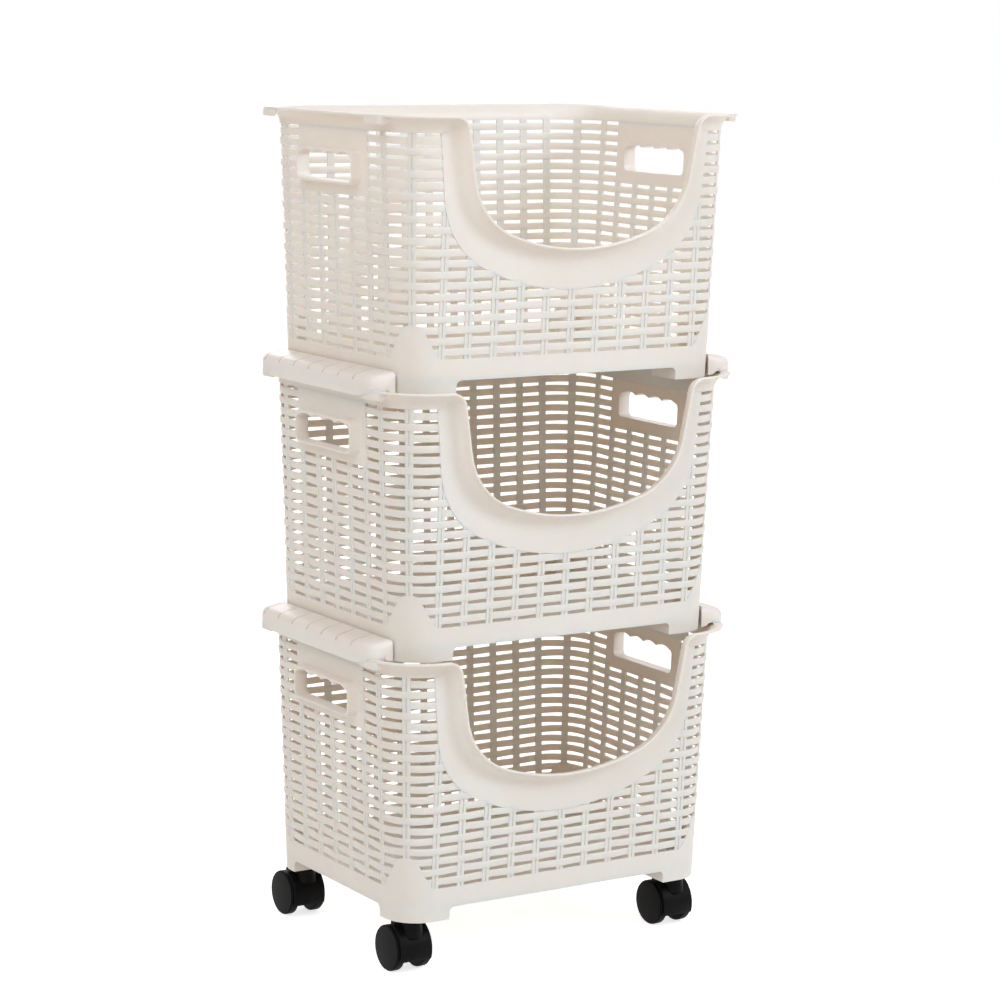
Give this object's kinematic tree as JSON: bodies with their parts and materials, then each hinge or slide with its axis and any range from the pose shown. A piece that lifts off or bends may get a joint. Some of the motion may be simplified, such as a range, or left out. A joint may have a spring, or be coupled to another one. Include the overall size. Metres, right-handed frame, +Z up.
{
  "type": "rolling storage cart",
  "caption": "Storage cart of stacked lattice baskets with front scoops and side grips, joined by clip-on side connectors, on twin-wheel swivel casters.",
  "frame": {"origin": "on the ground under the middle of the cart", "axes": "+X to the right seen from the front, +Y to the back (the scoops face -Y), +Z up"},
  "size_m": [0.3684, 0.2754, 0.736],
  "materials": {
    "basket_plastic": "fine satin moulded polypropylene",
    "connector_plastic": "fine satin moulded polypropylene, a little warmer",
    "caster_plastic": "satin black nylon",
    "wheel_plastic": "satin black nylon",
    "sleeve_plastic": "plain black nylon",
    "steel": "zinc-plated steel"
  },
  "bodies": {
    "base": {"lower_basket": "basket_plastic", "lower_left_connector": "connector_plastic", "lower_right_connector": "connector_plastic", "front_left_caster_stem": "steel", "front_left_caster_stem_sleeve": "sleeve_plastic", "front_right_caster_stem": "steel", "front_right_caster_stem_sleeve": "sleeve_plastic", "rear_left_caster_stem": "steel", "rear_left_caster_stem_sleeve": "sleeve_plastic", "rear_right_caster_stem": "steel", "rear_right_caster_stem_sleeve": "sleeve_plastic"},
    "middle_tier": {"middle_basket": "basket_plastic", "middle_left_connector": "connector_plastic", "middle_right_connector": "connector_plastic"},
    "upper_tier": {"upper_basket": "basket_plastic"},
    "front_left_caster": {"front_left_caster_housing": "caster_plastic", "front_left_caster_axle": "steel"},
    "front_left_caster_left_wheel": {"front_left_caster_left_wheel": "wheel_plastic"},
    "front_left_caster_right_wheel": {"front_left_caster_right_wheel": "wheel_plastic"},
    "front_right_caster": {"front_right_caster_housing": "caster_plastic", "front_right_caster_axle": "steel"},
    "front_right_caster_left_wheel": {"front_right_caster_left_wheel": "wheel_plastic"},
    "front_right_caster_right_wheel": {"front_right_caster_right_wheel": "wheel_plastic"},
    "rear_left_caster": {"rear_left_caster_housing": "caster_plastic", "rear_left_caster_axle": "steel"},
    "rear_left_caster_left_wheel": {"rear_left_caster_left_wheel": "wheel_plastic"},
    "rear_left_caster_right_wheel": {"rear_left_caster_right_wheel": "wheel_plastic"},
    "rear_right_caster": {"rear_right_caster_housing": "caster_plastic", "rear_right_caster_axle": "steel"},
    "rear_right_caster_left_wheel": {"rear_right_caster_left_wheel": "wheel_plastic"},
    "rear_right_caster_right_wheel": {"rear_right_caster_right_wheel": "wheel_plastic"}
  },
  "joints": [
    {"name": "middle_tier_lift", "type": "slide", "parent": "base", "child": "middle_tier", "axis": [0, 0, 1], "range_m": [0, 0.12]},
    {"name": "upper_tier_lift", "type": "slide", "parent": "middle_tier", "child": "upper_tier", "axis": [0, 0, 1], "range_m": [0, 0.12]},
    {"name": "front_left_caster_swivel", "type": "hinge", "parent": "base", "child": "front_left_caster", "pos_m": [-0.1382, -0.0954, 0.0485], "axis": [0, 0, 1], "continuous": true},
    {"name": "front_left_caster_left_wheel_spin", "type": "hinge", "parent": "front_left_caster", "child": "front_left_caster_left_wheel", "pos_m": [-0.1382, -0.0814, 0.0202], "axis": [1, 0, 0], "continuous": true},
    {"name": "front_left_caster_right_wheel_spin", "type": "hinge", "parent": "front_left_caster", "child": "front_left_caster_right_wheel", "pos_m": [-0.1382, -0.0814, 0.0202], "axis": [1, 0, 0], "continuous": true},
    {"name": "front_right_caster_swivel", "type": "hinge", "parent": "base", "child": "front_right_caster", "pos_m": [0.1382, -0.0954, 0.0485], "axis": [0, 0, 1], "continuous": true},
    {"name": "front_right_caster_left_wheel_spin", "type": "hinge", "parent": "front_right_caster", "child": "front_right_caster_left_wheel", "pos_m": [0.1382, -0.0814, 0.0202], "axis": [1, 0, 0], "continuous": true},
    {"name": "front_right_caster_right_wheel_spin", "type": "hinge", "parent": "front_right_caster", "child": "front_right_caster_right_wheel", "pos_m": [0.1382, -0.0814, 0.0202], "axis": [1, 0, 0], "continuous": true},
    {"name": "rear_left_caster_swivel", "type": "hinge", "parent": "base", "child": "rear_left_caster", "pos_m": [-0.1382, 0.0954, 0.0485], "axis": [0, 0, 1], "continuous": true},
    {"name": "rear_left_caster_left_wheel_spin", "type": "hinge", "parent": "rear_left_caster", "child": "rear_left_caster_left_wheel", "pos_m": [-0.1382, 0.1094, 0.0202], "axis": [1, 0, 0], "continuous": true},
    {"name": "rear_left_caster_right_wheel_spin", "type": "hinge", "parent": "rear_left_caster", "child": "rear_left_caster_right_wheel", "pos_m": [-0.1382, 0.1094, 0.0202], "axis": [1, 0, 0], "continuous": true},
    {"name": "rear_right_caster_swivel", "type": "hinge", "parent": "base", "child": "rear_right_caster", "pos_m": [0.1382, 0.0954, 0.0485], "axis": [0, 0, 1], "continuous": true},
    {"name": "rear_right_caster_left_wheel_spin", "type": "hinge", "parent": "rear_right_caster", "child": "rear_right_caster_left_wheel", "pos_m": [0.1382, 0.1094, 0.0202], "axis": [1, 0, 0], "continuous": true},
    {"name": "rear_right_caster_right_wheel_spin", "type": "hinge", "parent": "rear_right_caster", "child": "rear_right_caster_right_wheel", "pos_m": [0.1382, 0.1094, 0.0202], "axis": [1, 0, 0], "continuous": true}
  ]
}
